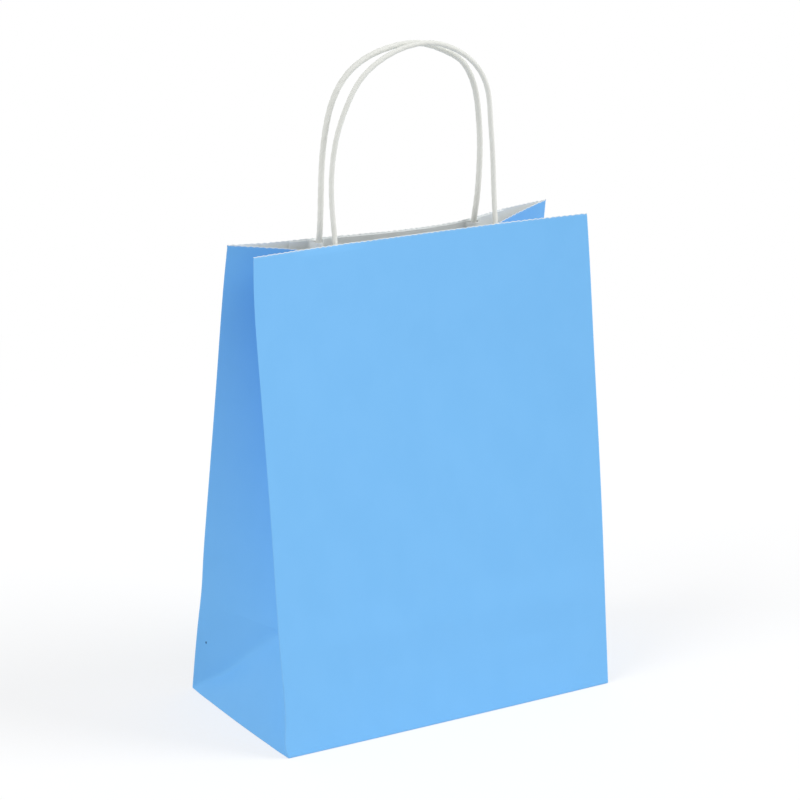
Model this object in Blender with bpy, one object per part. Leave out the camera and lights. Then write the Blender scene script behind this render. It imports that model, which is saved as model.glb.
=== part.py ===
# Kraft paper gift bag, standing open, with two twisted paper handles.
# Metres, +Z up. The origin is the middle of the bottom and the front panel faces -Y.
# The body is one folded sheet: two panels, two side gussets and a block bottom.

import math

import bmesh
import bpy
import numpy as np
from mathutils import Vector

# Driving dimensions of the body
BAG_WIDTH = 0.210
BAG_DEPTH = 0.110
PANEL_HEIGHT = 0.270          # up the leaning panel, from the bottom fold to the cut edge
WALL = 0.0006                 # the paper, thickened so that it makes a sound solid
GUSSET_FOLD_DROP = 0.0066     # how far the gusset's middle fold hangs below its two corners
CORNER_PULL = 0.0031          # the back right corner of the mouth is drawn in by this much
CORNER_PULL_WIDTH = 0.055     # and this much of the back panel goes with it
GAP = 0.0003                  # between pieces that touch

# Plan of the two cut edges at the mouth, from left to right, as x and y
FRONT_MOUTH = [(-0.105, -0.0139), (-0.070, -0.0095), (0.000, -0.0080), (0.070, -0.0113), (0.105, -0.0165)]
BACK_MOUTH = [(-0.105, 0.0147), (-0.088, 0.0104), (-0.055, 0.0087), (-0.013, 0.0058), (0.020, 0.0054),
              (0.043, 0.0080), (0.060, 0.0122), (0.080, 0.0160), (0.105, 0.0193)]

# The paper strips that hold the cords, glued inside each panel just under the cut edge
STRIP_HALF_WIDTH = 0.070
STRIP_HEIGHT = 0.036
STRIP_THICKNESS = 0.0005
STRIP_TOP_STEP = 0.0008       # the strips end this far below the cut edge
BULGE_SHOULDER = 0.0006       # room beside the cord under the cover strip
BULGE_RAMP = 0.0045           # width over which the cover strip comes down to its backing

# The handles: each route runs from one glued end over the arch to the other
FRONT_CORD_RADIUS = 0.0014
FRONT_CORD_LEGS = (-0.0503, 0.0503)
FRONT_ROUTE = [(-0.0504, -0.0109, 0.2330), (-0.0504, -0.0080, 0.2495), (-0.0504, -0.0051, 0.2660),
               (-0.0513, -0.0038, 0.2800), (-0.0522, -0.0036, 0.2950), (-0.0515, -0.0036, 0.3100),
               (-0.0487, -0.0037, 0.3250), (-0.0430, -0.0037, 0.3395), (-0.0364, -0.0037, 0.3505),
               (-0.0292, -0.0037, 0.3573), (-0.0206, -0.0037, 0.3624), (-0.0092, -0.0037, 0.3665),
               (0.0020, -0.0037, 0.3680), (0.0115, -0.0037, 0.3672), (0.0200, -0.0037, 0.3645),
               (0.0277, -0.0038, 0.3606), (0.0345, -0.0039, 0.3555), (0.0410, -0.0040, 0.3475),
               (0.0447, -0.0041, 0.3385), (0.0467, -0.0042, 0.3240), (0.0484, -0.0043, 0.3080),
               (0.0496, -0.0044, 0.2920), (0.0503, -0.0048, 0.2790), (0.0505, -0.0064, 0.2660),
               (0.0505, -0.0092, 0.2495), (0.0505, -0.0120, 0.2330)]
REAR_CORD_RADIUS = 0.0016
REAR_CORD_LEGS = (-0.0540, 0.0430)
REAR_ROUTE = [(-0.0541, 0.0111, 0.2330), (-0.0541, 0.0082, 0.2495), (-0.0541, 0.0053, 0.2660),
              (-0.0543, 0.0039, 0.2800), (-0.0544, 0.0035, 0.2950), (-0.0540, 0.0031, 0.3110),
              (-0.0524, 0.0026, 0.3265), (-0.0488, 0.0020, 0.3410), (-0.0405, 0.0014, 0.3543),
              (-0.0305, 0.0009, 0.3616), (-0.0180, 0.0006, 0.3660), (-0.0060, 0.0004, 0.3677),
              (0.0040, 0.0005, 0.3672), (0.0140, 0.0007, 0.3643), (0.0225, 0.0009, 0.3605),
              (0.0300, 0.0013, 0.3560), (0.0368, 0.0018, 0.3475), (0.0405, 0.0022, 0.3390),
              (0.0434, 0.0026, 0.3250), (0.0450, 0.0029, 0.3100), (0.0452, 0.0031, 0.2940),
              (0.0446, 0.0035, 0.2790), (0.0437, 0.0047, 0.2660), (0.0436, 0.0076, 0.2495),
              (0.0436, 0.0105, 0.2330)]
CORD_POINT_SPACING = 0.0062

# Fineness of the mesh
GUSSET_COLUMNS = 6            # across half a gusset; also the rows up to the gusset's apex
UPPER_ROWS = 9                # from the apex to the cut edge
SIDE_COLUMNS = 3              # from a corner to the strip
MIDDLE_COLUMNS = 7            # between the two cord legs

FRONT = -1
BACK = 1


def clear_scene():
    for item in list(bpy.data.objects):
        bpy.data.objects.remove(item, do_unlink=True)


def paper_material(name, colour, roughness):
    material = bpy.data.materials.new(name)
    material.use_nodes = True
    shader = material.node_tree.nodes["Principled BSDF"]
    shader.inputs["Base Color"].default_value = (*colour, 1.0)
    shader.inputs["Roughness"].default_value = roughness
    shader.inputs["Metallic"].default_value = 0.0
    material.diffuse_color = (*colour, 1.0)
    return material


def natural_spline(knots, values):
    # Natural cubic through the values, returned as a function of the knot coordinate
    knots = np.array(knots, dtype=float)
    values = np.array(values, dtype=float)
    count = len(knots)
    step = np.diff(knots)
    matrix = np.eye(count)
    bend = np.zeros(count)
    for i in range(1, count - 1):
        matrix[i, i - 1] = step[i - 1]
        matrix[i, i] = 2 * (step[i - 1] + step[i])
        matrix[i, i + 1] = step[i]
        bend[i] = 3 * ((values[i + 1] - values[i]) / step[i] - (values[i] - values[i - 1]) / step[i - 1])
    curve = np.linalg.solve(matrix, bend)

    def value_at(place):
        i = int(np.clip(np.searchsorted(knots, place) - 1, 0, count - 2))
        along = place - knots[i]
        slope = (values[i + 1] - values[i]) / step[i] - step[i] * (2 * curve[i] + curve[i + 1]) / 3
        cubic = (curve[i + 1] - curve[i]) / (3 * step[i])
        return float(values[i] + slope * along + curve[i] * along ** 2 + cubic * along ** 3)

    return value_at


mouth_edges = {
    FRONT: natural_spline(*zip(*FRONT_MOUTH)),
    BACK: natural_spline(*zip(*BACK_MOUTH)),
}


def smooth_step(share):
    share = min(max(share, 0.0), 1.0)
    return share * share * (3 - 2 * share)


def panel_point(side, x, height):
    # A point on the outer face: x across the panel at its bottom fold, height up the paper
    bottom = Vector((x, side * BAG_DEPTH / 2, 0))
    shift = 0.0
    if side == BACK:
        shift = -CORNER_PULL * smooth_step((x - BAG_WIDTH / 2) / CORNER_PULL_WIDTH + 1)
    lean = mouth_edges[side](x) - bottom.y
    rise = math.sqrt(PANEL_HEIGHT ** 2 - lean ** 2 - shift ** 2)
    return bottom + Vector((shift, lean, rise)) * (height / PANEL_HEIGHT)


def inside_point(side, x, height, depth):
    # The same, moved into the bag by a depth square to the panel
    reach = 0.001
    across = panel_point(side, x + reach, height) - panel_point(side, x - reach, height)
    upward = panel_point(side, x, PANEL_HEIGHT) - panel_point(side, x, 0)
    outward = across.cross(upward).normalized()
    if side == BACK:
        outward.negate()
    return panel_point(side, x, height) - outward * depth


def gusset_point(end, along, height):
    # along runs from -1 at the front corner through 0 at the middle fold to 1 at the back corner
    front = panel_point(FRONT, end * BAG_WIDTH / 2, height)
    back = panel_point(BACK, end * BAG_WIDTH / 2, height)
    corner = front if along < 0 else back
    if height >= BAG_DEPTH / 2:
        return corner.lerp(middle_fold_point(end, height), 1 - abs(along))
    # Below the apex each half is split by a slanting fold; inside the two folds lies a flat triangle
    apex = middle_fold_point(end, BAG_DEPTH / 2)
    share = height / (BAG_DEPTH / 2)
    foot = panel_point(FRONT if along < 0 else BACK, end * BAG_WIDTH / 2, 0)
    slant = foot.lerp(apex, share)
    across = 1 - abs(along)
    if across <= share:
        return corner.lerp(slant, across / share if share > 0 else 0)
    middle = Vector((end * BAG_WIDTH / 2, 0, 0)).lerp(apex, share)
    return slant.lerp(middle, (across - share) / (1 - share))


def middle_fold_point(end, height):
    front = panel_point(FRONT, end * BAG_WIDTH / 2, height)
    back = panel_point(BACK, end * BAG_WIDTH / 2, height)
    half_gap = (back - front).length / 2
    tuck = math.sqrt((BAG_DEPTH / 2) ** 2 - half_gap ** 2 - GUSSET_FOLD_DROP ** 2)
    return (front + back) / 2 + Vector((-end * tuck, 0, -GUSSET_FOLD_DROP))


def spread(start, end, cells):
    return [start + (end - start) * i / cells for i in range(cells)]


def bulge_columns(leg, radius):
    shoulder = radius + BULGE_SHOULDER
    return [leg - shoulder - BULGE_RAMP, leg - shoulder, leg + shoulder, leg + shoulder + BULGE_RAMP]


def strip_columns(legs, radius):
    left = bulge_columns(legs[0], radius)
    right = bulge_columns(legs[1], radius)
    return ([-STRIP_HALF_WIDTH] + left + spread(left[-1], right[0], MIDDLE_COLUMNS)[1:] + right
            + [STRIP_HALF_WIDTH])


def panel_columns(legs, radius):
    half = BAG_WIDTH / 2
    return (spread(-half, -STRIP_HALF_WIDTH, SIDE_COLUMNS) + strip_columns(legs, radius)[:-1]
            + spread(STRIP_HALF_WIDTH, half, SIDE_COLUMNS) + [half])


def finish_object(name, mesh_builder, material, thickness):
    # The faces are the outer surface; Solidify gives them their thickness on the inner side
    mesh = bpy.data.meshes.new(name)
    mesh_builder.to_mesh(mesh)
    mesh_builder.free()
    mesh.materials.append(material)
    item = bpy.data.objects.new(name, mesh)
    bpy.context.collection.objects.link(item)
    solidify = item.modifiers.new("paper", "SOLIDIFY")
    solidify.thickness = thickness
    solidify.offset = -1
    return item


def add_grid(builder, rows, split_rising=None):
    # Quads between rows of vertices; split_rising names the cells that need a chosen diagonal
    for r in range(len(rows) - 1):
        for c in range(len(rows[r]) - 1):
            low_left, low_right = rows[r][c], rows[r][c + 1]
            high_left, high_right = rows[r + 1][c], rows[r + 1][c + 1]
            rising = split_rising(r, c) if split_rising else None
            if rising is None:
                builder.faces.new((low_left, low_right, high_right, high_left))
            elif rising:
                builder.faces.new((low_left, low_right, high_right))
                builder.faces.new((low_left, high_right, high_left))
            else:
                builder.faces.new((low_left, low_right, high_left))
                builder.faces.new((low_right, high_right, high_left))


def body_heights():
    apex = BAG_DEPTH / 2
    return spread(0, apex, GUSSET_COLUMNS) + spread(apex, PANEL_HEIGHT, UPPER_ROWS) + [PANEL_HEIGHT]


def make_body(material):
    front_x = panel_columns(FRONT_CORD_LEGS, FRONT_CORD_RADIUS)
    back_x = panel_columns(REAR_CORD_LEGS, REAR_CORD_RADIUS)
    gusset = [i / GUSSET_COLUMNS - 1 for i in range(2 * GUSSET_COLUMNS + 1)]
    builder = bmesh.new()

    # One closed ring of vertices at each height, counterclockwise from the front left corner
    rings = []
    for height in body_heights():
        ring = [panel_point(FRONT, x, height) for x in front_x[:-1]]
        ring += [gusset_point(1, along, height) for along in gusset[:-1]]
        ring += [panel_point(BACK, x, height) for x in reversed(back_x[1:])]
        ring += [gusset_point(-1, along, height) for along in reversed(gusset[1:])]
        vertices = [builder.verts.new(point) for point in ring]
        rings.append(vertices + vertices[:1])

    panel_cells = len(front_x) - 1
    gusset_cells = 2 * GUSSET_COLUMNS
    gusset_starts = (panel_cells, 2 * panel_cells + gusset_cells)

    def slanting_fold(row, column):
        # True on the fold that rises into the gusset, False on the one that comes back down
        for start in gusset_starts:
            if column - start == row and row < GUSSET_COLUMNS:
                return True
            if column - start == gusset_cells - 1 - row and row < GUSSET_COLUMNS:
                return False
        return None

    add_grid(builder, rings, slanting_fold)

    # The bottom joins the lowest ring: its rows run from the front fold to the back fold
    base = rings[0]
    rows = [base[:panel_cells + 1]]
    for r in range(1, gusset_cells):
        left = base[len(base) - 1 - r]
        right = base[panel_cells + r]
        share = r / gusset_cells
        middle = []
        for c in range(1, panel_cells):
            x = front_x[c] + (back_x[c] - front_x[c]) * share
            middle.append(builder.verts.new((x, left.co.y, 0)))
        rows.append([left] + middle + [right])
    back_row = base[panel_cells + gusset_cells:2 * panel_cells + gusset_cells + 1]
    rows.append(list(reversed(back_row)))
    add_grid(builder, [list(reversed(row)) for row in rows])
    return finish_object("bag_body", builder, material, WALL)


def make_strip(name, side, columns, depth_at, material):
    heights = (PANEL_HEIGHT - STRIP_HEIGHT, PANEL_HEIGHT - STRIP_HEIGHT / 2, PANEL_HEIGHT - STRIP_TOP_STEP)
    builder = bmesh.new()
    rows = []
    for height in heights:
        points = [inside_point(side, x, height, depth_at(x)) for x in columns]
        if side == BACK:
            points.reverse()
        rows.append([builder.verts.new(point) for point in points])
    add_grid(builder, rows)
    return finish_object(name, builder, material, STRIP_THICKNESS)


def make_strips(prefix, side, legs, radius, material):
    columns = strip_columns(legs, radius)
    backing_depth = WALL + GAP
    cover_depth = backing_depth + STRIP_THICKNESS + GAP

    def cover_depth_at(x):
        # The cover lies on the backing strip and rises over each cord leg
        beside = min(abs(x - leg) for leg in legs) - radius - BULGE_SHOULDER
        return cover_depth + (2 * radius + GAP) * min(max(1 - beside / BULGE_RAMP, 0), 1)

    make_strip(prefix + "_backing_strip", side, columns, lambda x: backing_depth, material)
    make_strip(prefix + "_cover_strip", side, columns, cover_depth_at, material)


def smooth_route(points, spacing):
    # Evenly spaced points on a natural cubic through the route, by distance along it
    points = np.array(points)
    knots = np.concatenate([[0], np.cumsum(np.linalg.norm(np.diff(points, axis=0), axis=1))])
    axes = [natural_spline(knots, points[:, k]) for k in range(3)]
    cells = round(knots[-1] / spacing)
    return [Vector([axis(knots[-1] * i / cells) for axis in axes]) for i in range(cells + 1)]


def make_cord(name, route, radius, material):
    curve = bpy.data.curves.new(name, "CURVE")
    curve.dimensions = "3D"
    curve.bevel_depth = radius
    curve.bevel_resolution = 2
    curve.use_fill_caps = True
    points = smooth_route(route, CORD_POINT_SPACING)
    spline = curve.splines.new("POLY")
    spline.points.add(len(points) - 1)
    for slot, point in zip(spline.points, points):
        slot.co = (*point, 1)
    spline.use_smooth = True
    curve.materials.append(material)
    item = bpy.data.objects.new(name, curve)
    bpy.context.collection.objects.link(item)
    return item


clear_scene()
blue_paper = paper_material("blue_paper", (0.21, 0.53, 0.91), 0.75)
white_paper = paper_material("white_paper", (0.80, 0.84, 0.85), 0.80)
cord_paper = paper_material("cord_paper", (0.74, 0.75, 0.71), 0.80)

make_body(blue_paper)
make_strips("front", FRONT, FRONT_CORD_LEGS, FRONT_CORD_RADIUS, white_paper)
make_strips("rear", BACK, REAR_CORD_LEGS, REAR_CORD_RADIUS, white_paper)
make_cord("front_handle", FRONT_ROUTE, FRONT_CORD_RADIUS, cord_paper)
make_cord("rear_handle", REAR_ROUTE, REAR_CORD_RADIUS, cord_paper)
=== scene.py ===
import math

import bmesh
import bpy
import numpy as np
from mathutils import Matrix, Vector


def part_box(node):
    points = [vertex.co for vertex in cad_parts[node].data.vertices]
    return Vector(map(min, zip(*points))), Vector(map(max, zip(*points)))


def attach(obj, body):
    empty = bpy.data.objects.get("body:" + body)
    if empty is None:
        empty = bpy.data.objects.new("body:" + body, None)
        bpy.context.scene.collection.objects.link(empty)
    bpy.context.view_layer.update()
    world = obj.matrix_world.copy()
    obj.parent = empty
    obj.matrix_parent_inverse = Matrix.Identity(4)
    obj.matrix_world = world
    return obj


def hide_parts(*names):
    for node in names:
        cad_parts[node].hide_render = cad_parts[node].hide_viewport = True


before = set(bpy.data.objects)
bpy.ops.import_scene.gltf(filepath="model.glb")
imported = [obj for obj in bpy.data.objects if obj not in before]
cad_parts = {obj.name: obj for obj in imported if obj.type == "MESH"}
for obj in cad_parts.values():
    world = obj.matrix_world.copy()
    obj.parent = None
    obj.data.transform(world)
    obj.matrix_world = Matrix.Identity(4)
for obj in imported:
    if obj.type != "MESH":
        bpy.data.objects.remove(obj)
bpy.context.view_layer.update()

print("frame loaded")

bodyName = "root"


# Sockets that take part in sums

class Wire:
    def __init__(self, maker, socket):
        self.maker = maker
        self.socket = socket

    def __add__(self, other):
        return self.maker.maths("ADD", self, other)

    def __sub__(self, other):
        return self.maker.maths("SUBTRACT", self, other)

    def __mul__(self, other):
        return self.maker.maths("MULTIPLY", self, other)

    def __truediv__(self, other):
        return self.maker.maths("DIVIDE", self, other)

    def __pow__(self, other):
        return self.maker.maths("POWER", self, other)

    def __rsub__(self, other):
        return self.maker.maths("SUBTRACT", other, self)

    def __rtruediv__(self, other):
        return self.maker.maths("DIVIDE", other, self)

    __radd__ = __add__
    __rmul__ = __mul__

    def between(self, low, high):          # 0 below low, 1 above high, smooth in between
        return self.maker.node("ShaderNodeMapRange", {"interpolation_type": "SMOOTHSTEP"},
                               {"Value": self, "From Min": low, "From Max": high})


class Maker:
    def __init__(self, tree):
        self.tree = tree

    def node(self, kind, settings=None, values=None, out=0):
        made = self.tree.nodes.new(kind)
        for name, value in (settings or {}).items():
            setattr(made, name, value)
        for name, value in (values or {}).items():
            if isinstance(value, Wire):
                self.tree.links.new(value.socket, made.inputs[name])
            else:
                made.inputs[name].default_value = value
        return Wire(self, made.outputs[out])

    def maths(self, operation, first, second=None):
        values = {0: first} if second is None else {0: first, 1: second}
        return self.node("ShaderNodeMath", {"operation": operation}, values)

    def vector(self, operation, first, second, out=0):
        values = {0: first, ("Scale" if operation == "SCALE" else 1): second}
        return self.node("ShaderNodeVectorMath", {"operation": operation}, values, out)

    def mix(self, share, first, second, blend="MIX"):
        return self.node("ShaderNodeMix", {"data_type": "RGBA", "blend_type": blend},
                         {0: share, 6: first, 7: second}, out=2)

    def attribute(self, name, out):
        return self.node("ShaderNodeAttribute", {"attribute_name": name}, out=out)


def startMaterial(name):
    made = bpy.data.materials.new(name)
    made.use_nodes = True
    made.node_tree.nodes.clear()
    return made, Maker(made.node_tree)


def finishMaterial(made, maker, values):
    shader = maker.node("ShaderNodeBsdfPrincipled", None, values, out="BSDF")
    output = made.node_tree.nodes.new("ShaderNodeOutputMaterial")
    made.node_tree.links.new(shader.socket, output.inputs["Surface"])
    return made


# Camera, at the photograph's angle

view = {
    "yaw": -32.13,                 # degrees, to the left of straight on
    "pitch": 17.54,                # degrees, looking down
    "roll": 1.14,
    "lens": 131.08,
    "place": (-0.81457, -1.28950, 0.65176),
}


def makeCamera(view):
    yaw, pitch, roll = (math.radians(view[name]) for name in ("yaw", "pitch", "roll"))
    towards = Vector((math.sin(yaw) * math.cos(pitch), -math.cos(yaw) * math.cos(pitch), math.sin(pitch)))
    level = (-towards).cross(Vector((0, 0, 1))).normalized()
    upright = level.cross(-towards)
    right = level * math.cos(roll) + upright * math.sin(roll)
    up = upright * math.cos(roll) - level * math.sin(roll)
    data = bpy.data.cameras.new("camera")
    data.lens = view["lens"]
    data.sensor_width = 36
    camera = bpy.data.objects.new("camera", data)
    camera.matrix_world = Matrix((right, up, towards)).transposed().to_4x4()
    camera.location = view["place"]
    bpy.context.scene.collection.objects.link(camera)
    bpy.context.scene.camera = camera


makeCamera(view)
print("camera placed")


# Smooth lines through chosen points

def smoothLine(knots, values):
    knots = np.array(knots, dtype=float)
    values = np.array(values, dtype=float)
    step = np.diff(knots)
    system = np.eye(len(knots))
    bend = np.zeros(len(knots))
    slopes = np.diff(values) / step
    for i in range(1, len(knots) - 1):
        system[i, i - 1:i + 2] = step[i - 1], 2 * (step[i - 1] + step[i]), step[i]
        bend[i] = 3 * (slopes[i] - slopes[i - 1])
    curve = np.linalg.solve(system, bend)

    def valueAt(place):
        i = np.clip(np.searchsorted(knots, place) - 1, 0, len(knots) - 2)
        along = place - knots[i]
        start = slopes[i] - step[i] * (2 * curve[i] + curve[i + 1]) / 3
        third = (curve[i + 1] - curve[i]) / (3 * step[i])
        return values[i] + along * (start + along * (curve[i] + along * third))

    return valueAt


def smoothRoute(points, spacing):
    points = np.array(points)
    knots = np.concatenate([[0], np.cumsum(np.linalg.norm(np.diff(points, axis=0), axis=1))])
    count = round(knots[-1] / spacing)
    places = np.linspace(0, knots[-1], count + 1)
    return np.stack([smoothLine(knots, points[:, axis])(places) for axis in range(3)], axis=1)


# Handles: twisted paper cord, each bent from one glued end over the arch to the other

handles = {
    "front_handle": {
        "radius": 0.0014,
        "route": [(-0.0504, -0.0109, 0.2330), (-0.0504, -0.0080, 0.2495), (-0.0504, -0.0051, 0.2660),
                  (-0.0513, -0.0038, 0.2800), (-0.0522, -0.0036, 0.2950), (-0.0515, -0.0036, 0.3100),
                  (-0.0487, -0.0037, 0.3250), (-0.0430, -0.0037, 0.3395), (-0.0364, -0.0037, 0.3505),
                  (-0.0292, -0.0037, 0.3573), (-0.0206, -0.0037, 0.3624), (-0.0092, -0.0037, 0.3665),
                  (0.0020, -0.0037, 0.3680), (0.0115, -0.0037, 0.3672), (0.0200, -0.0037, 0.3645),
                  (0.0277, -0.0038, 0.3606), (0.0345, -0.0039, 0.3555), (0.0410, -0.0040, 0.3475),
                  (0.0447, -0.0041, 0.3385), (0.0467, -0.0042, 0.3240), (0.0484, -0.0043, 0.3080),
                  (0.0496, -0.0044, 0.2920), (0.0503, -0.0048, 0.2790), (0.0505, -0.0064, 0.2660),
                  (0.0505, -0.0092, 0.2495), (0.0505, -0.0120, 0.2330)],
    },
    "rear_handle": {
        "radius": 0.0016,
        "route": [(-0.0541, 0.0111, 0.2330), (-0.0541, 0.0082, 0.2495), (-0.0541, 0.0053, 0.2660),
                  (-0.0543, 0.0039, 0.2800), (-0.0544, 0.0035, 0.2950), (-0.0540, 0.0031, 0.3110),
                  (-0.0524, 0.0026, 0.3265), (-0.0488, 0.0020, 0.3410), (-0.0405, 0.0014, 0.3543),
                  (-0.0305, 0.0009, 0.3616), (-0.0180, 0.0006, 0.3660), (-0.0060, 0.0004, 0.3677),
                  (0.0040, 0.0005, 0.3672), (0.0140, 0.0007, 0.3643), (0.0225, 0.0009, 0.3605),
                  (0.0300, 0.0013, 0.3560), (0.0368, 0.0018, 0.3475), (0.0405, 0.0022, 0.3390),
                  (0.0434, 0.0026, 0.3250), (0.0450, 0.0029, 0.3100), (0.0452, 0.0031, 0.2940),
                  (0.0446, 0.0035, 0.2790), (0.0437, 0.0047, 0.2660), (0.0436, 0.0076, 0.2495),
                  (0.0436, 0.0105, 0.2330)],
    },
}
twist = {
    "strands": 2,                  # helical ridges round the cord
    "lay": 0.013,                  # length of one full turn
    "groove": 0.07,                # depth of a groove, as a share of the radius
    "grooveSharpness": 5.0,
    "uneven": 0.05,                # how much the cord swells and thins, as a share of its radius
    "step": 0.0005,                # spacing of the rings
    "sides": 20,
}


def cordMaterial():
    made, maker = startMaterial("twistedPaper")
    lobe = maker.attribute("lobe", "Vector")
    along = maker.attribute("alongCord", "Fac")
    strandPlace = maker.node("ShaderNodeCombineXYZ", None, {
        "X": maker.node("ShaderNodeSeparateXYZ", None, {0: lobe}, out="X") * 2.2,
        "Y": maker.node("ShaderNodeSeparateXYZ", None, {0: lobe}, out="Y") * 2.2,
        "Z": along * 120,
    })
    streaks = maker.node("ShaderNodeTexNoise", None,
                         {"Vector": strandPlace, "Scale": 1.6, "Detail": 1.5, "Roughness": 0.5})
    clouds = maker.node("ShaderNodeTexNoise", None, {
        "Vector": maker.node("ShaderNodeTexCoord", out="Object"), "Scale": 70.0, "Detail": 2.0})
    tone = streaks.between(0.25, 0.75) * 0.6 + clouds.between(0.3, 0.7) * 0.4
    colour = maker.mix(tone, (0.755, 0.765, 0.720, 1), (0.830, 0.840, 0.805, 1))
    relief = maker.node("ShaderNodeBump", None, {
        "Strength": 0.15, "Distance": 0.00010, "Height": streaks})
    return finishMaterial(made, maker, {
        "Base Color": colour, "Roughness": 0.7, "Specular IOR Level": 0.35, "Normal": relief})


def addInput(tree, name, value, kind="NodeSocketFloat"):
    socket = tree.interface.new_socket(name, in_out="INPUT", socket_type=kind)
    if value is not None:
        socket.default_value = value
    return socket


def cordTree(material):
    tree = bpy.data.node_groups.new("twistedCord", "GeometryNodeTree")
    addInput(tree, "Route", None, "NodeSocketGeometry")
    addInput(tree, "Radius", 0.0015)
    addInput(tree, "Strands", 2.0)
    addInput(tree, "Lay length", 0.01)
    addInput(tree, "Groove", 0.1)
    addInput(tree, "Groove sharpness", 4.0)
    addInput(tree, "Unevenness", 0.05)
    addInput(tree, "Ring spacing", 0.001)
    addInput(tree, "Sides", 20, "NodeSocketInt")
    addInput(tree, "Seed", 0.0)
    tree.interface.new_socket("Cord", in_out="OUTPUT", socket_type="NodeSocketGeometry")
    maker = Maker(tree)
    source = tree.nodes.new("NodeGroupInput")

    def given(name):
        return Wire(maker, source.outputs[name])

    # The route, turned about itself so that the profile's lobes run round it as a helix
    route = maker.node("GeometryNodeResampleCurve", {"mode": "LENGTH"},
                       {"Curve": given("Route"), "Length": given("Ring spacing")})
    length = maker.node("GeometryNodeSplineParameter", out="Length")
    swell = maker.node("ShaderNodeTexNoise", {"noise_dimensions": "4D"}, {
        "Vector": maker.node("GeometryNodeInputPosition"), "W": given("Seed"),
        "Scale": 90.0, "Detail": 1.0})
    route = maker.node("GeometryNodeSetCurveRadius", None, {
        "Curve": route, "Radius": 1 + (swell - 0.5) * 2 * given("Unevenness")})
    route = maker.node("GeometryNodeSetCurveTilt", None, {
        "Curve": route, "Tilt": length / given("Lay length") * math.tau})
    route = maker.node("GeometryNodeStoreNamedAttribute", {"data_type": "FLOAT", "domain": "POINT"},
                       {"Geometry": route, "Name": "alongCord", "Value": length})

    # The profile: a circle with a rounded lobe for each strand
    place = maker.node("GeometryNodeInputPosition")
    across = maker.node("ShaderNodeSeparateXYZ", None, {0: place}, out="X")
    upward = maker.node("ShaderNodeSeparateXYZ", None, {0: place}, out="Y")
    angle = maker.maths("ARCTAN2", upward, across)
    wave = maker.maths("COSINE", angle * given("Strands")) * 0.5 + 0.5
    pinch = 1 - given("Groove") * wave ** given("Groove sharpness")
    circle = maker.node("GeometryNodeCurvePrimitiveCircle", {"mode": "RADIUS"},
                        {"Resolution": given("Sides"), "Radius": given("Radius")})
    profile = maker.node("GeometryNodeStoreNamedAttribute", {"data_type": "FLOAT_VECTOR", "domain": "POINT"}, {
        "Geometry": circle, "Name": "lobe",
        "Value": maker.vector("SCALE", place, 1 / given("Radius"))})
    profile = maker.node("GeometryNodeSetPosition", None, {
        "Geometry": profile, "Position": maker.vector("SCALE", place, pinch)})

    cord = maker.node("GeometryNodeCurveToMesh", None,
                      {"Curve": route, "Profile Curve": profile, "Fill Caps": True})
    cord = maker.node("GeometryNodeSetShadeSmooth", None, {"Geometry": cord})
    cord = maker.node("GeometryNodeRealizeInstances", None, {"Geometry": cord})
    cord = maker.node("GeometryNodeSetMaterial", None, {"Geometry": cord, "Material": material})
    result = tree.nodes.new("NodeGroupOutput")
    tree.links.new(cord.socket, result.inputs["Cord"])
    return tree


def runTree(piece, tree, values):
    modifier = piece.modifiers.new("shape", "NODES")
    modifier.node_group = tree
    for item in tree.interface.items_tree:
        if item.item_type == "SOCKET" and item.in_out == "INPUT" and item.name in values:
            modifier[item.identifier] = values[item.name]
    evaluated = piece.evaluated_get(bpy.context.evaluated_depsgraph_get())
    mesh = bpy.data.meshes.new_from_object(evaluated, preserve_all_data_layers=True,
                                           depsgraph=bpy.context.evaluated_depsgraph_get())
    piece.modifiers.remove(modifier)
    return mesh


def addPiece(name, mesh):
    mesh.name = name
    piece = bpy.data.objects.new(name, mesh)
    bpy.context.scene.collection.objects.link(piece)
    return piece


def faceOutwards(mesh):
    builder = bmesh.new()
    builder.from_mesh(mesh)
    if builder.calc_volume(signed=True) < 0:
        bmesh.ops.reverse_faces(builder, faces=builder.faces)
    builder.to_mesh(mesh)
    builder.free()


def makeHandle(name, handle, tree, seed):
    points = smoothRoute(handle["route"], twist["step"])
    line = bpy.data.curves.new(name + "Route", "CURVE")
    line.dimensions = "3D"
    spline = line.splines.new("POLY")
    spline.points.add(len(points) - 1)
    for slot, point in zip(spline.points, points):
        slot.co = (*point, 1)
    guide = bpy.data.objects.new(name + "Route", line)
    bpy.context.scene.collection.objects.link(guide)
    mesh = runTree(guide, tree, {
        "Radius": handle["radius"], "Strands": float(twist["strands"]), "Lay length": twist["lay"],
        "Groove": twist["groove"], "Groove sharpness": twist["grooveSharpness"],
        "Unevenness": twist["uneven"], "Ring spacing": twist["step"], "Sides": twist["sides"], "Seed": seed})
    bpy.data.objects.remove(guide, do_unlink=True)
    faceOutwards(mesh)
    piece = addPiece(name + "_cord", mesh)
    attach(piece, bodyName)
    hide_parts(name)
    2 * handle["radius"]
    return piece


cordFinish = cordMaterial()
cordShape = cordTree(cordFinish)
for seed, (name, handle) in enumerate(handles.items()):
    makeHandle(name, handle, cordShape, float(seed))
print("handles twisted")


# The bag: one sheet, folded. Its outer face is a grid of rings, one for each height up the paper

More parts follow.
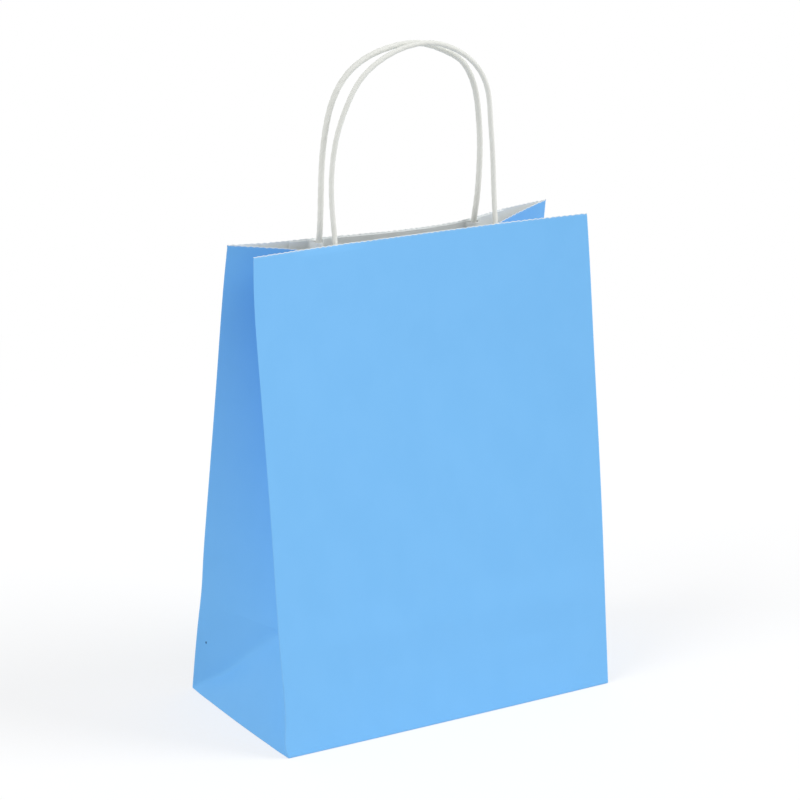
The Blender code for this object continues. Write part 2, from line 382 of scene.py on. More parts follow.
bodyLow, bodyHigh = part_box("bag_body")
front, back = -1, 1
left, right = -1, 1
bag = {
    "width": bodyHigh.x - bodyLow.x,
    "depth": bodyHigh.y - bodyLow.y,
    "height": 0.270,               # up the paper, from the bottom fold to the cut edge
    "paper": 0.00026,
    "foldDrop": 0.0066,            # how far the gusset's middle fold hangs below its corners
    "cornerPull": 0.0031,          # the back right corner is drawn in
    "cornerPullWidth": 0.055,
    "frontMouth": [(-0.105, -0.0139), (-0.070, -0.0095), (0.000, -0.0080), (0.070, -0.0113), (0.105, -0.0165)],
    "backMouth": [(-0.105, 0.0147), (-0.088, 0.0117), (-0.055, 0.0092), (-0.013, 0.0058), (0.020, 0.0054),
                  (0.043, 0.0080), (0.060, 0.0122), (0.080, 0.0160), (0.105, 0.0193)],
    "foldRadius": 0.0010,
    "thinNearFold": 0.0060,        # the layers meet there, so they have no room for their full thickness
    "slantRadius": (0.0012, 0.0060),   # of the slanting folds, at the bottom corner and at the apex
    "slantSag": 0.0026,            # these folds dip this far on their way up
    "footBulge": (0.0005, 0.0011),     # how far the bottom folds bow out: at the panels, at the gussets
}
halfWidth = bag["width"] / 2
halfDepth = bag["depth"] / 2
mouthLines = {
    front: smoothLine(*zip(*bag["frontMouth"])),
    back: smoothLine(*zip(*bag["backMouth"])),
}

# How far each upright fold strays sideways from a straight line: height up the fold, and x
foldBows = {
    (front, left): [(0.0, 0.0), (0.005, -0.0015), (0.013, -0.0012), (0.024, -0.0002), (0.045, -0.0004),
                    (0.085, -0.0009), (0.120, -0.0008), (0.160, -0.0010), (0.200, -0.0014), (0.235, -0.0017),
                    (0.256, -0.0011), (0.270, 0.0)],
    (front, right): [(0.0, 0.0), (0.020, 0.0002), (0.050, 0.0006), (0.090, 0.0011), (0.140, 0.0011),
                     (0.200, 0.0007), (0.250, 0.0004), (0.270, 0.0)],
    (back, left): [(0.0, 0.0), (0.025, 0.0), (0.045, 0.0003), (0.062, 0.0008), (0.080, 0.0004), (0.105, 0.0001),
                   (0.160, 0.0), (0.200, -0.0002), (0.245, -0.0004), (0.270, 0.0)],
    (back, right): [(0.0, 0.0), (0.060, -0.0005), (0.120, 0.0005), (0.200, 0.0007), (0.270, 0.0)],
}
bowLines = {corner: smoothLine(*zip(*knots)) for corner, knots in foldBows.items()}

# Dents and swells of the panels: across, up the paper, half width, half height, and how far they stand out
dents = {
    front: [(0.030, 0.190, 0.045, 0.050, -0.0008), (-0.070, 0.150, 0.030, 0.080, 0.0006),
            (0.0493, 0.0698, 0.008, 0.006, -0.0003), (0.0529, 0.0296, 0.020, 0.007, 0.0004)],
    back: [(-0.040, 0.120, 0.050, 0.060, 0.0008), (0.050, 0.160, 0.040, 0.060, -0.0006)],
}
ripple = {"height": 0.00022, "across": 14.0, "upward": 9.0}
packCrease = {"rise": 0.056, "height": 0.0005, "spread": 0.018}      # left from when the bag lay flat
lipRoll = {"start": -0.080, "end": -0.018, "height": 0.0045, "depth": 0.0006}
gussetBows = {left: (0.0010, 0.0007), right: (-0.0008, 0.0010)}      # low down and at the mouth


def smoothStep(share):
    share = np.clip(share, 0.0, 1.0)
    return share * share * (3 - 2 * share)


def panelPoints(side, x, rise):
    # Points on the outer face: x across at the bottom fold, rise up the paper
    x, rise = np.broadcast_arrays(np.asarray(x, float), np.asarray(rise, float))
    foot = np.stack([x, np.full_like(x, side * halfDepth), np.zeros_like(x)], axis=-1)
    shift = np.zeros_like(x)
    if side == back:
        shift = -bag["cornerPull"] * smoothStep((x - halfWidth) / bag["cornerPullWidth"] + 1)
    lean = mouthLines[side](x) - side * halfDepth
    lift = np.sqrt(bag["height"] ** 2 - lean ** 2 - shift ** 2)
    points = foot + np.stack([shift, lean, lift], axis=-1) * (rise / bag["height"])[..., None]
    share = (x / halfWidth + 1) / 2
    points[..., 0] += bowLines[side, left](rise) * (1 - share) + bowLines[side, right](rise) * share
    return points


def dentDepth(side, x, rise):
    # How far the panel stands proud of its straight lines: nothing at the folds
    depth = np.zeros(np.broadcast(x, rise).shape)
    for centreX, centreRise, wide, high, amount in dents[side]:
        depth += amount * np.exp(-((x - centreX) / wide) ** 2 - ((rise - centreRise) / high) ** 2)
    phase = 1.3 if side == front else 4.1
    depth += ripple["height"] * np.sin(x * ripple["across"] * math.tau + phase + rise * 21.0) \
        * np.sin(rise * ripple["upward"] * math.tau + 2 * phase + x * 17.0)
    depth += packCrease["height"] * np.clip(1 - np.abs(rise - packCrease["rise"]) / packCrease["spread"], 0, 1)
    inside = smoothStep((halfWidth - np.abs(x)) / 0.025) * smoothStep(rise / 0.030)
    depth *= inside * smoothStep((bag["height"] - 0.036 - rise) / 0.035)
    if side == front:
        along = smoothStep((x - lipRoll["start"]) / 0.012) * smoothStep((lipRoll["end"] - x) / 0.030)
        depth -= lipRoll["depth"] * along * smoothStep(1 - (bag["height"] - rise) / lipRoll["height"])
    return depth


def panelSurface(side, x, rise, inward=0.0):
    # The bent panel, or a layer that lies a little way inside it
    reach = 0.001
    across = panelPoints(side, x + reach, rise) - panelPoints(side, x - reach, rise)
    upward = panelPoints(side, x, bag["height"]) - panelPoints(side, x, 0)
    outward = np.cross(across, upward) * -side
    outward /= np.linalg.norm(outward, axis=-1)[..., None]
    return panelPoints(side, x, rise) + outward * (dentDepth(side, x, rise) - inward)[..., None]


def middleFold(end, rise):
    frontCorner = panelPoints(front, end * halfWidth, rise)
    backCorner = panelPoints(back, end * halfWidth, rise)
    halfGap = np.linalg.norm(backCorner - frontCorner, axis=-1) / 2
    tuck = np.sqrt(halfDepth ** 2 - halfGap ** 2 - bag["foldDrop"] ** 2)
    point = (frontCorner + backCorner) / 2
    point[..., 0] -= end * tuck
    point[..., 2] -= bag["foldDrop"]
    return point


def sharpGusset(end, side, inward, rise):
    # Below the apex a slanting fold splits each half: a triangle lies under it, the upright part above
    corner = panelPoints(side, end * halfWidth, rise)
    if rise >= halfDepth:
        return corner + (middleFold(end, rise) - corner) * inward / halfDepth
    foot = panelPoints(side, end * halfWidth, 0)
    apex = middleFold(end, halfDepth)
    slant = foot + (apex - foot) * rise / halfDepth
    if inward <= rise:
        return corner + (slant - corner) * (inward / rise if rise > 0 else 0)
    middle = np.array([end * halfWidth, 0, 0])
    middle = middle + (apex - middle) * rise / halfDepth
    return slant + (middle - slant) * (inward - rise) / (halfDepth - rise)


def gussetPoint(end, side, inward, rise):
    point = sharpGusset(end, side, inward, rise)
    upright = smoothStep((rise - inward) / 0.025) if rise < halfDepth + 0.025 else 1.0
    upper = max(rise, halfDepth)
    across = (middleFold(end, upper) - panelPoints(side, end * halfWidth, upper)) * end * side
    outward = np.array([across[1], -across[0], 0]) / np.linalg.norm(across[:2])
    low, high = gussetBows[end]
    bow = low + (high - low) * rise / bag["height"]
    point = point + outward * bow * math.sin(math.pi * inward / halfDepth) * upright
    if rise >= halfDepth:
        return point

    # The slanting fold is rounded: its kink is spread over a short way to both sides
    place = (inward + rise) / 2
    beside = inward - rise
    share = place / halfDepth
    radius = bag["slantRadius"][0] + (bag["slantRadius"][1] - bag["slantRadius"][0]) * share
    radius = min(radius, 0.9 * place, 0.9 * (halfDepth - place))
    if 0 < abs(beside) < radius or (beside == 0 and radius > 0):
        step = 0.5 * radius
        above = sharpGusset(end, side, place - step, place + step)
        below = sharpGusset(end, side, place + step, place - step)
        kink = (below + above - 2 * sharpGusset(end, side, place, place)) / (2 * step)
        point = point + 0.5 * kink * ((beside ** 2 + radius ** 2) / (2 * radius) - abs(beside))
    sag = bag["slantSag"] * math.sin(math.pi * min(share * 1.3, 1)) ** 2
    return point - np.array([0, 0, sag * smoothStep(1 - abs(beside) / 0.022)])


# Spacing of the grid: half a saw tooth round the bag, and closer beside each fold

teeth = {
    "width": 0.0035,
    "depth": 0.0005,
    "uneven": 0.55,
    "bent": 0.0003,                # how far the tips are bent out of the sheet
    "seed": 3,
}
seam = {
    "place": -0.0866,              # edge of the glued lap, on the back panel
    "step": 0.00025,
}
foldOffsets = [0.0, 0.0003, 0.00065, 0.0010]
panelTeeth = 2 * round(bag["width"] / teeth["width"])
gussetTeeth = 4 * round(halfDepth / teeth["width"] / 2)


def spaced(length, cells):
    inner = [length * i / cells for i in range(1, cells)]
    return foldOffsets + inner + [length - offset for offset in reversed(foldOffsets)]


seamColumns = [seam["place"] + offset for offset in (-0.0004, -0.0001, 0.0001, 0.0004)]
panelX = np.array(sorted([x - halfWidth for x in spaced(bag["width"], panelTeeth)] + seamColumns))
halfGusset = np.array(spaced(halfDepth, gussetTeeth))
gussetY = np.concatenate([halfGusset - halfDepth, halfDepth - halfGusset[-2::-1]])
floorInsets = [0.0030, 0.0010, 0.00065, 0.0003]
upperRises = list(np.linspace(halfDepth, bag["height"] - 0.0048, 66)[1:])
topRises = [bag["height"] - below for below in (0.0032, 0.0016, 0.0)]
rises = np.array([-inset for inset in floorInsets] + list(halfGusset) + upperRises + topRises)
bottomRow = len(floorInsets)

# Round the bag, counterclockwise from the front left corner: front, right gusset, back, left gusset
sideCounts = [len(panelX) - 1, len(gussetY) - 1, len(panelX) - 1, len(gussetY) - 1]
sideStarts = [sum(sideCounts[:i]) for i in range(5)]
foldColumns = sideStarts[:4] + [sideStarts[i] + len(halfGusset) - 1 for i in (1, 3)]
sideLengths = [bag["width"], bag["depth"], bag["width"], bag["depth"]]
sidePlaces = [panelX + halfWidth, gussetY + halfDepth, halfWidth - panelX[::-1], halfDepth - gussetY[::-1]]


def roundTheBag(values, lengths):
    # Joins one list of values for each side into one, each side starting where the last ended
    starts = np.cumsum([0] + lengths[:-1])
    return np.concatenate([start + side[:-1] for start, side in zip(starts, values)] + [[sum(lengths)]])


runs = roundTheBag(sidePlaces, sideLengths)
toothCounts = [panelTeeth, 2 * gussetTeeth, panelTeeth, 2 * gussetTeeth]
toothPlaces = roundTheBag([place / length * count for place, length, count
                           in zip(sidePlaces, sideLengths, toothCounts)], toothCounts)


def gussetRow(end, rise):
    return np.array([gussetPoint(end, front if y < 0 else back, halfDepth - abs(y), rise) for y in gussetY])


def sheetRing(rise):
    backX = panelX[::-1]
    if rise >= 0:
        backRow = panelSurface(back, backX, rise)
        lap = np.clip((backX + halfWidth) / (seam["place"] + halfWidth), 0, 1) * (backX < seam["place"])
        backRow[:, 1] += seam["step"] * lap * smoothStep(rise / 0.004)
        sides = [panelSurface(front, panelX, rise), gussetRow(right, rise), backRow, gussetRow(left, rise)[::-1]]
    else:
        wide, deep = 1 + rise / halfWidth, 1 + rise / halfDepth
        lift = bag["paper"] * 2 if rise == rises[0] else 0.0
        outline = [(panelX * wide, -halfDepth * deep), (halfWidth * wide, gussetY * deep),
                   (backX * wide, halfDepth * deep), (-halfWidth * wide, gussetY[::-1] * deep)]
        sides = [np.stack(np.broadcast_arrays(x, y, lift), axis=-1) for x, y in outline]
    return np.concatenate([side[:-1] for side in sides])


def bowFoot(grid):
    # The bottom folds bow out a little between the corners
    fade = smoothStep(1 - np.maximum(rises, 0) / 0.035)[:, None]
    panelBow, gussetBow = bag["footBulge"]
    x, y = grid[..., 0].copy(), grid[..., 1].copy()
    nearPanel = smoothStep(np.abs(y) / halfDepth * 4 - 3)
    nearGusset = smoothStep(np.abs(x) / halfWidth * 4 - 3)
    grid[..., 1] += np.sign(y) * panelBow * (1 - (x / halfWidth) ** 2).clip(0) * fade * nearPanel
    grid[..., 0] += np.sign(x) * gussetBow * (1 - (y / halfDepth) ** 2).clip(0) * fade * nearGusset


def roundFold(lines, middle):
    # Replaces a sharp fold by a short curve between the lines one fold radius to either side
    reach = len(foldOffsets) - 1
    near = [(middle + k) % len(lines) for k in range(-reach, reach + 1)]
    start, corner, end = lines[near[0]].copy(), lines[near[reach]].copy(), lines[near[-1]].copy()
    for k, line in enumerate(near):
        offset = foldOffsets[abs(k - reach)] * (1 if k > reach else -1)
        share = (offset + bag["foldRadius"]) / (2 * bag["foldRadius"])
        lines[line] = (1 - share) ** 2 * start + 2 * share * (1 - share) * corner + share ** 2 * end


def slantingSplit(row, column):
    # True or False for which way the slanting fold crosses this cell of the grid, None elsewhere
    for i in (1, 3):
        place = column - sideStarts[i]
        if 0 <= place < sideCounts[i] and 0 <= row - bottomRow < len(halfGusset) - 1:
            if place == row - bottomRow:
                return True
            if sideCounts[i] - 1 - place == row - bottomRow:
                return False
    return None


def sheetMesh():
    grid = np.stack([sheetRing(rise) for rise in rises])
    bowFoot(grid)
    for column in foldColumns:
        roundFold(np.moveaxis(grid, 1, 0), column)
    roundFold(grid, bottomRow)
    rows, columns = grid.shape[:2]
    corners, places = [], []
    for row in range(rows - 1):
        for column in range(columns):
            cell = [(row, column), (row, column + 1), (row + 1, column + 1), (row + 1, column)]
            split = slantingSplit(row, column)
            parts = {None: [(0, 1, 2, 3)], True: [(0, 1, 2), (0, 2, 3)], False: [(0, 1, 3), (1, 2, 3)]}[split]
            for part in parts:
                corners.append([cell[i][0] * columns + cell[i][1] % columns for i in part])
                places += [(runs[cell[i][1]], rises[cell[i][0]]) for i in part]
    corners.append(list(reversed(range(columns))))
    places += [tuple(grid[0, column, :2]) for column in reversed(range(columns))]
    mesh = bpy.data.meshes.new("sheet")
    mesh.from_pydata(grid.reshape(-1, 3).tolist(), [], corners)
    mesh.uv_layers.new(name="paperRun").data.foreach_set("uv", np.array(places).ravel())
    return mesh, grid


def storeOnPoints(mesh, name, values, kind="FLOAT"):
    layer = mesh.attributes.new(name, kind, "POINT")
    layer.data.foreach_set("vector" if kind == "FLOAT_VECTOR" else "value", np.ravel(values))


def storeSheetValues(mesh, grid):
    # What the saw cut and the materials need to know about each point of the sheet
    rows, columns = grid.shape[:2]
    blank = np.zeros((rows, columns))
    topEdge = blank.copy()
    topEdge[-1] = 1
    lapEdge = blank.copy()
    lapX = panelX[::-1][:-1]
    onLap = np.abs(lapX - seam["place"]) < 0.0002
    lapEdge[bottomRow:, sideStarts[2]:sideStarts[3]] = onLap
    uphill = np.zeros_like(grid)
    uphill[-1] = grid[-1] - grid[-2]
    uphill[-1] /= np.linalg.norm(uphill[-1], axis=-1)[:, None]
    ring = runs[-1]
    acrossFold = np.min([np.abs((runs[:-1] - runs[column] + ring / 2) % ring - ring / 2)
                         for column in foldColumns[:4]], axis=0)
    toFold = np.minimum(acrossFold[None, :], np.abs(rises)[:, None])
    storeOnPoints(mesh, "cutEdge", topEdge)
    storeOnPoints(mesh, "lapEdge", lapEdge)
    storeOnPoints(mesh, "toothPlace", blank + toothPlaces[:-1])
    storeOnPoints(mesh, "foldWearAndHighlight", np.clip(1 - toFold / 0.0010, 0, 1))
    storeOnPoints(mesh, "uphill", uphill, "FLOAT_VECTOR")
    return np.clip(acrossFold / bag["thinNearFold"], 0.15, 1)


def sawCutTree(material):
    tree = bpy.data.node_groups.new("sawCut", "GeometryNodeTree")
    addInput(tree, "Sheet", None, "NodeSocketGeometry")
    addInput(tree, "Tooth depth", 0.001)
    addInput(tree, "Unevenness", 0.5)
    addInput(tree, "Bent tips", 0.0002)
    addInput(tree, "Seed", 0, "NodeSocketInt")
    tree.interface.new_socket("Cut sheet", in_out="OUTPUT", socket_type="NodeSocketGeometry")
    maker = Maker(tree)
    source = tree.nodes.new("NodeGroupInput")

    def given(name):
        return Wire(maker, source.outputs[name])

    def stored(name, kind="FLOAT"):
        return maker.node("GeometryNodeInputNamedAttribute", {"data_type": kind}, {"Name": name}, out="Attribute")

    # Valleys halfway between the teeth, each of its own depth, and tips bent out of the sheet
    place = stored("toothPlace")
    wave = maker.maths("PINGPONG", place, 1.0)
    which = maker.maths("ROUND", place)
    luck = maker.node("FunctionNodeRandomValue", {"data_type": "FLOAT"},
                      {2: 0.0, 3: 1.0, "ID": which, "Seed": given("Seed")}, out=1)
    drop = given("Tooth depth") * wave * (1 - luck * given("Unevenness"))
    lean = given("Bent tips") * (1 - wave) * (luck - 0.35)
    down = maker.vector("SCALE", stored("uphill", "FLOAT_VECTOR"), 0 - drop)
    out = maker.vector("SCALE", maker.node("GeometryNodeInputNormal"), lean)
    sheet = maker.node("GeometryNodeSetPosition", None, {
        "Geometry": given("Sheet"), "Selection": maker.maths("GREATER_THAN", stored("cutEdge"), 0.5),
        "Offset": maker.vector("ADD", down, out)})
    sheet = maker.node("GeometryNodeRealizeInstances", None, {"Geometry": sheet})
    sheet = maker.node("GeometryNodeSetMaterial", None, {"Geometry": sheet, "Material": material})
    result = tree.nodes.new("NodeGroupOutput")
    tree.links.new(sheet.socket, result.inputs["Cut sheet"])
    return tree


paperColours = {
    "blue": (0.192, 0.522, 0.930, 1),
    "blueCloud": (0.187, 0.515, 0.923, 1),
    "bluePaleWornAndLit": (0.42, 0.69, 0.95, 1),          # where the sheet is worn along its folds, and painted highlight along the folds and in a band below the cut edge
    "white": (0.89, 0.92, 0.92, 1),
    "whiteCloud": (0.86, 0.895, 0.895, 1),
    "speck": (0.045, 0.160, 0.330, 1),
}
speck = {"place": (0.5367, 0.0316), "width": 0.0007, "height": 0.0010}      # round the bag, up the paper


def paperTexture(maker):
    # Fibres that lie mostly up the sheet, and faint clouds in the pulp
    sheetPlace = maker.node("ShaderNodeUVMap", {"uv_map": "paperRun"})
    fibres = maker.node("ShaderNodeTexNoise", None, {
        "Vector": maker.vector("MULTIPLY", sheetPlace, (3200, 1500, 1)), "Scale": 1.0, "Detail": 4.0,
        "Roughness": 0.6})
    clouds = maker.node("ShaderNodeTexNoise", None, {
        "Vector": maker.vector("MULTIPLY", sheetPlace, (60, 38, 1)), "Scale": 1.0, "Detail": 3.0})
    return fibres, clouds


def bluePaper():
    made, maker = startMaterial("bluePaper")
    fibres, clouds = paperTexture(maker)
    colour = maker.mix(clouds.between(0.35, 0.65), paperColours["blue"], paperColours["blueCloud"])
    # Paler along every fold: partly wear where the blue is creased, partly a painted highlight on the rounded
    # folds
    wearAndHighlight = maker.attribute("foldWearAndHighlight", "Fac") * (0.06 + 0.16 * fibres.between(0.45, 0.65))
    edge = maker.attribute("cutEdge", "Fac")
    colour = maker.mix(wearAndHighlight, colour, paperColours["bluePaleWornAndLit"])
    # Painted highlight: a paler band just below the cut edge, as if the curled edge caught the light
    colour = maker.mix(edge * 0.35, colour, paperColours["bluePaleWornAndLit"])
    torn = edge + maker.attribute("lapEdge", "Fac") + (fibres - 0.5) * 0.25
    colour = maker.mix(torn.between(0.72, 0.86), colour, paperColours["white"])
    sheetPlace = maker.node("ShaderNodeUVMap", {"uv_map": "paperRun"})
    fromSpeck = maker.vector("SUBTRACT", sheetPlace, (*speck["place"], 0))
    fromSpeck = maker.vector("MULTIPLY", fromSpeck, (1, speck["width"] / speck["height"], 0))
    away = maker.vector("LENGTH", fromSpeck, (0, 0, 0), out="Value")
    onSpeck = 1 - away.between(0.5 * speck["width"], speck["width"])
    colour = maker.mix(onSpeck, colour, paperColours["speck"])
    relief = maker.node("ShaderNodeBump", None, {"Strength": 0.10, "Distance": 0.00006, "Height": fibres})
    return finishMaterial(made, maker, {
        "Base Color": colour,
        "Roughness": 0.52 + 0.10 * fibres,
        "Specular IOR Level": 0.35,
        "Normal": relief,
    })


def whitePaper():
    made, maker = startMaterial("whitePaper")
    fibres, clouds = paperTexture(maker)
    tone = 0.6 * clouds.between(0.35, 0.65) + 0.4 * fibres.between(0.35, 0.65)
    colour = maker.mix(tone, paperColours["white"], paperColours["whiteCloud"])
    relief = maker.node("ShaderNodeBump", None, {"Strength": 0.15, "Distance": 0.00008, "Height": fibres})
    return finishMaterial(made, maker, {
        "Base Color": colour,
        "Roughness": 0.72 + 0.10 * fibres,
        "Specular IOR Level": 0.3,
        "Normal": relief,
    })


def smoothWithSharpRims(mesh):
    mesh.shade_smooth()
    mesh.set_sharp_from_angle(angle=math.radians(55))


def slabMesh(name, outer, inner):
    # A closed thin sheet between two matching grids of points
    rows, columns = outer.shape[:2]
    behind = rows * columns
    faces = []
    for row in range(rows - 1):
        for column in range(columns - 1):
            place = row * columns + column
            quad = [place, place + 1, place + columns + 1, place + columns]
            faces.append(quad)
            faces.append([behind + i for i in reversed(quad)])
    bottom = list(range(columns))
    rightSide = [row * columns + columns - 1 for row in range(rows)]
    top = [(rows - 1) * columns + column for column in reversed(range(columns))]
    leftSide = [row * columns for row in reversed(range(rows))]
    for side in (bottom, rightSide, top, leftSide):
        for a, b in zip(side[:-1], side[1:]):
            faces.append([b, a, behind + a, behind + b])
    mesh = bpy.data.meshes.new(name)
    mesh.from_pydata(np.concatenate([outer.reshape(-1, 3), inner.reshape(-1, 3)]).tolist(), [], faces)
    places = mesh.uv_layers.new(name="paperRun")
    flat = outer.reshape(-1, 3)
    along = np.linalg.norm(flat - flat[0], axis=1)
    for loop in mesh.loops:
        point = loop.vertex_index % behind
        places.data[loop.index].uv = (flat[point][0], along[point] if rows < 3 else flat[point][2])
    faceOutwards(mesh)
    smoothWithSharpRims(mesh)
    return mesh


# The two bottom flaps: their cut corners are glued one over the other under the bag

bottomFlaps = {
    "reach": 0.010,                # how far each goes past the middle
    "rootInset": 0.0012,
    "tipHalfWidth": 0.052,
    "gap": 0.00002,
}


def flapMesh(side, level):
    paper = bag["paper"]
    root = np.array([-halfWidth + bottomFlaps["rootInset"], side * (halfDepth - bottomFlaps["rootInset"])])
    tip = np.array([-bottomFlaps["tipHalfWidth"], -side * bottomFlaps["reach"]])
    rows = []
    for share in np.linspace(0, 1, 8):
        leftEnd = root + (tip - root) * share
        xs = np.linspace(leftEnd[0], -leftEnd[0], 25)
        rows.append([(x, leftEnd[1], level) for x in xs])
    lower = np.array(rows)
    return slabMesh("bottomFlap", lower, lower + np.array([0, 0, paper - bottomFlaps["gap"]]))


def makeBody(blue, white):
    mesh, grid = sheetMesh()
    thickness = storeSheetValues(mesh, grid)
    sheet = addPiece("openSheet", mesh)
    cutMesh = runTree(sheet, sawCutTree(blue), {
        "Tooth depth": teeth["depth"], "Unevenness": teeth["uneven"], "Bent tips": teeth["bent"],
        "Seed": teeth["seed"]})
    bpy.data.objects.remove(sheet, do_unlink=True)
    cutMesh.materials.append(white)
    folded = addPiece("foldedSheet", cutMesh)

    # Thickness on the inner side, thin in the folds so that the layers don't run into each other
    group = folded.vertex_groups.new(name="thickness")
    columns = grid.shape[1]
    for value in np.unique(thickness):
        where = np.where(thickness == value)[0]
        points = (where[None, :] + np.arange(len(rises))[:, None] * columns).ravel()
        group.add(points.tolist(), float(value), "REPLACE")
    solidify = folded.modifiers.new("paper", "SOLIDIFY")
    solidify.thickness = bag["paper"]
    solidify.offset = -1
    solidify.vertex_group = "thickness"
    solidify.thickness_vertex_group = 0.0
    solidify.material_offset = 1
    solidify.material_offset_rim = 1
    evaluated = folded.evaluated_get(bpy.context.evaluated_depsgraph_get())
    solid = bpy.data.meshes.new_from_object(evaluated, preserve_all_data_layers=True,
                                            depsgraph=bpy.context.evaluated_depsgraph_get())
    bpy.data.objects.remove(folded, do_unlink=True)
    smoothWithSharpRims(solid)

    builder = bmesh.new()
    builder.from_mesh(solid)
    builder.from_mesh(flapMesh(front, 0.0))
    builder.from_mesh(flapMesh(back, bag["paper"]))
    builder.to_mesh(solid)
    builder.free()
    piece = addPiece("bag_sheet", solid)
    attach(piece, bodyName)
    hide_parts("bag_body")
    return piece


blue = bluePaper()
white = whitePaper()
bagSheet = makeBody(blue, white)
print("bag folded,", len(bagSheet.data.polygons), "faces")


# The strips that hold the cords: a backing strip on the panel and a cover strip over the cord's ends

strip = {
    "halfWidth": 0.070,
    "height": 0.036,
    "topStep": 0.0008,             # they end this far below the cut edge
    "paper": 0.00026,
    "gap": 0.00004,                # glue between two layers
    "shoulder": 0.0003,            # the cover strip comes down beside the cord over the ramp
    "ramp": 0.0036,
    "overEnd": 0.005,              # and over the same sort of length below the cord's end
    "glue": 0.0035,                # half width of the glue bead between cord and backing strip
    "clearance": 0.0001,
    "ripple": 0.00012,
}


def gluedLegs(side, route, radius):
    # For each glued leg: heights up the paper, and there its x and the depth of its centre under the panel
    points = smoothRoute(route, 0.002)
    legs = []
    for end in (left, right):
        leg = points[(np.sign(points[:, 0]) == end) & (points[:, 2] < 0.268)]
        leg = leg[np.argsort(leg[:, 2])]
        lean = mouthLines[side](leg[:, 0]) - side * halfDepth
        heights = leg[:, 2] * bag["height"] / np.sqrt(bag["height"] ** 2 - lean ** 2)
        surface = panelSurface(side, leg[:, 0], heights)
        depths = np.abs(surface[:, 1] - leg[:, 1]) * np.cos(np.arcsin(np.abs(lean) / bag["height"]))
        legs.append({"rises": heights, "xs": leg[:, 0], "depths": depths, "radius": radius})
    return legs


def overLeg(leg, x, rise, shoulder, ramp):
    beside = np.abs(x - np.interp(rise, leg["rises"], leg["xs"])) - leg["radius"] * 0.5 - shoulder
    above = (rise - leg["rises"][0] + strip["overEnd"]) / strip["overEnd"]
    return smoothStep(1 - beside / ramp) * smoothStep(above)


def makeStrips(prefix, side, handle, material):
    legs = gluedLegs(side, handle["route"], handle["radius"])
    regular = np.linspace(-strip["halfWidth"], strip["halfWidth"], 71)
    near = [leg["xs"][0] + offset for leg in legs for offset in np.linspace(-0.008, 0.008, 24)]
    x = np.sort(np.concatenate([regular, near]))
    topRise = bag["height"] - strip["topStep"]
    heights = np.linspace(topRise - strip["height"], topRise, 26)
    x, rise = np.meshgrid(x, heights)
    waves = strip["ripple"] * (1 + np.sin(x * 410 + 3 * side) * np.sin(rise * 330 + side))
    backingOuter = bag["paper"] + strip["gap"] + 0 * x
    backingInner = backingOuter + strip["paper"]
    coverOuter = backingInner + strip["gap"] + waves
    for leg in legs:
        depth = np.interp(rise, leg["rises"], leg["depths"])
        glue = overLeg(leg, x, rise, 0.0, strip["glue"])
        room = depth - leg["radius"] - strip["clearance"] - bag["paper"] - strip["gap"] - strip["paper"]
        backingInner += room * glue
        cover = overLeg(leg, x, rise, strip["shoulder"], strip["ramp"])
        coverOuter += (depth + 1.08 * leg["radius"] - coverOuter) * cover
    coverOuter = np.maximum(coverOuter, backingInner + strip["gap"])
    layers = {
        "backing_strip": (backingOuter, backingInner),
        "cover_strip": (coverOuter, coverOuter + strip["paper"]),
    }
    for layer, (outer, inner) in layers.items():
        mesh = slabMesh(prefix + layer, panelSurface(side, x, rise, outer), panelSurface(side, x, rise, inner))
        mesh.materials.append(material)
        piece = addPiece(prefix + "_" + layer.split("_")[0] + "_paper", mesh)
        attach(piece, bodyName)
        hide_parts(prefix + "_" + layer)


makeStrips("front", front, handles["front_handle"], white)
makeStrips("rear", back, handles["rear_handle"], white)
print("strips glued in")


# Floor, lights and world

studio = {
    "floorRadius": 7.0,
    "shadowReach": (0.30, 0.75),   # the floor's shading shows inside the first and is gone beyond the second
    "floorShade": 0.36,
    "floorColour": 0.80,
    "worldLight": 0.54,
    "keyAngle": (56, 36),          # degrees to the right of the front, and above the floor
    "keyStrength": 1.45,
    "fillAngle": (-82, 45),
    "fillStrength": 0.95,
    "softness": 30,
}


def seenRays(maker):
    # 1 for rays that look at the background itself, through glass or in a reflection too
    rays = [maker.node("ShaderNodeLightPath", out=name)
            for name in ("Is Camera Ray", "Is Glossy Ray", "Is Transmission Ray")]
    return maker.maths("MAXIMUM", maker.maths("MAXIMUM", rays[0], rays[1]), rays[2])


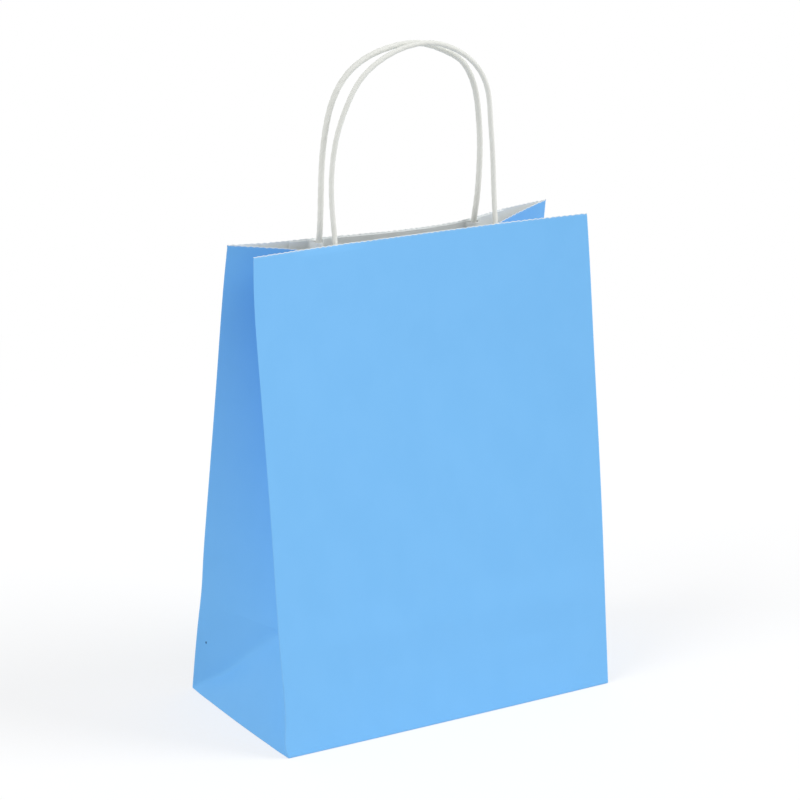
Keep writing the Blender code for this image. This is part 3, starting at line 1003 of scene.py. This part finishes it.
def makeFloor():
    made, maker = startMaterial("paleFloor")
    seen = seenRays(maker)
    away = maker.vector("LENGTH", maker.node("ShaderNodeTexCoord", out="Object"), (0, 0, 0), out="Value")
    shaded = (1 - away.between(*studio["shadowReach"])) * studio["floorShade"]
    plain = maker.node("ShaderNodeCombineColor", None, {
        name: studio["floorColour"] * (1 - seen) + shaded * seen for name in ("Red", "Green", "Blue")})
    glow = (1 - shaded) * seen
    glowColour = maker.node("ShaderNodeCombineColor", None, {name: glow for name in ("Red", "Green", "Blue")})
    finishMaterial(made, maker, {
        "Base Color": plain, "Roughness": 0.9, "Specular IOR Level": 0.0,
        "Emission Color": glowColour, "Emission Strength": 1.0})
    builder = bmesh.new()
    bmesh.ops.create_circle(builder, cap_ends=True, segments=96, radius=studio["floorRadius"])
    mesh = bpy.data.meshes.new("floor")
    builder.to_mesh(mesh)
    builder.free()
    mesh.materials.append(made)
    floor = addPiece("floor", mesh)


def makeSun(name, angle, strength):
    azimuth, height = (math.radians(value) for value in angle)
    towards = Vector((math.sin(azimuth) * math.cos(height), -math.cos(azimuth) * math.cos(height),
                      math.sin(height)))
    data = bpy.data.lights.new(name, "SUN")
    data.energy = strength
    data.angle = math.radians(studio["softness"])
    lamp = bpy.data.objects.new(name, data)
    lamp.rotation_mode = "QUATERNION"
    lamp.rotation_quaternion = towards.to_track_quat("Z", "Y")
    lamp.location = towards * 2
    bpy.context.scene.collection.objects.link(lamp)


def makeWorld():
    world = bpy.data.worlds.new("studio")
    world.use_nodes = True
    world.node_tree.nodes.clear()
    maker = Maker(world.node_tree)
    strength = maker.maths("MAXIMUM", seenRays(maker), studio["worldLight"])
    sky = maker.node("ShaderNodeBackground", None, {"Color": (1, 1, 1, 1), "Strength": strength})
    output = world.node_tree.nodes.new("ShaderNodeOutputWorld")
    world.node_tree.links.new(sky.socket, output.inputs["Surface"])
    bpy.context.scene.world = world


makeFloor()
makeSun("keyLight", studio["keyAngle"], studio["keyStrength"])
makeSun("fillLight", studio["fillAngle"], studio["fillStrength"])
makeWorld()
bpy.context.scene.view_settings.view_transform = "Standard"
print("studio lit")
